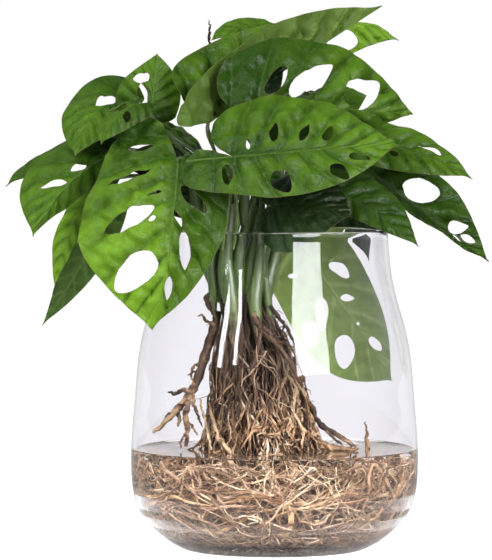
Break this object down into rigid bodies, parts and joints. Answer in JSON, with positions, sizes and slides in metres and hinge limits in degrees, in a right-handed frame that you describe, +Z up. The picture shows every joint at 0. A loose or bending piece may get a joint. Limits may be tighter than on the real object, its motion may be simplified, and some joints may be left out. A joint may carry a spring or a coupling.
{
  "type": "monstera plant in glass vase",
  "caption": "Monstera plant with holed drooping leaves, standing bare-rooted in a clear bulbous glass vase with water in its bowl.",
  "frame": {"origin": "centre of the vase's underside, on the surface that it stands on", "axes": "+Z up along the vase's axis, -Y towards the plant's best side, +X to the right seen from there"},
  "size_m": [0.2962, 0.1893, 0.3323],
  "materials": {
    "vase_glass": "gloss",
    "water": "gloss",
    "root_soaked": "satin",
    "root_fine": "matte",
    "root_thick": "matte",
    "crown": "matte",
    "stem": "satin",
    "stalk": "satin",
    "leaf": "satin",
    "leaf_pale": "satin"
  },
  "bodies": {
    "root": {"crown": "crown", "leaf_back_high": "leaf", "leaf_back_left": "leaf", "leaf_back_middle": "leaf", "leaf_behind_vase": "leaf", "leaf_front_left": "leaf", "leaf_front_right": "leaf", "leaf_inner": "leaf", "leaf_left_bright": "leaf_pale", "leaf_left_far": "leaf", "leaf_left_low": "leaf_pale", "leaf_left_middle": "leaf", "leaf_left_top": "leaf", "leaf_left_upper": "leaf", "leaf_left_young": "leaf", "leaf_right_inner": "leaf", "leaf_right_low": "leaf", "leaf_right_middle": "leaf", "leaf_right_upper": "leaf", "leaf_rim_right": "leaf", "leaf_top_back": "leaf", "leaf_top_folded": "leaf", "leaf_top_right": "leaf", "petiole_back_high": "stalk", "petiole_back_left": "stalk", "petiole_back_middle": "stalk", "petiole_behind_vase": "stalk", "petiole_front_left": "stalk", "petiole_front_right": "stalk", "petiole_inner": "stalk", "petiole_left_bright": "stalk", "petiole_left_far": "stalk", "petiole_left_low": "stalk", "petiole_left_middle": "stalk", "petiole_left_top": "stalk", "petiole_left_upper": "stalk", "petiole_left_young": "stalk", "petiole_right_inner": "stalk", "petiole_right_low": "stalk", "petiole_right_middle": "stalk", "petiole_right_upper": "stalk", "petiole_rim_right": "stalk", "petiole_top_back": "stalk", "petiole_top_folded": "stalk", "petiole_top_right": "stalk", "root_curtain": "root_fine", "root_front": "root_thick", "root_left": "root_thick", "root_left_branch": "root_thick", "root_mat": "root_soaked", "root_right": "root_thick", "stem_back": "stem", "stem_front": "stem", "stem_left": "stem", "stem_middle": "stem", "stem_right": "stem", "vase": "vase_glass", "water": "water"}
  },
  "joints": []
}
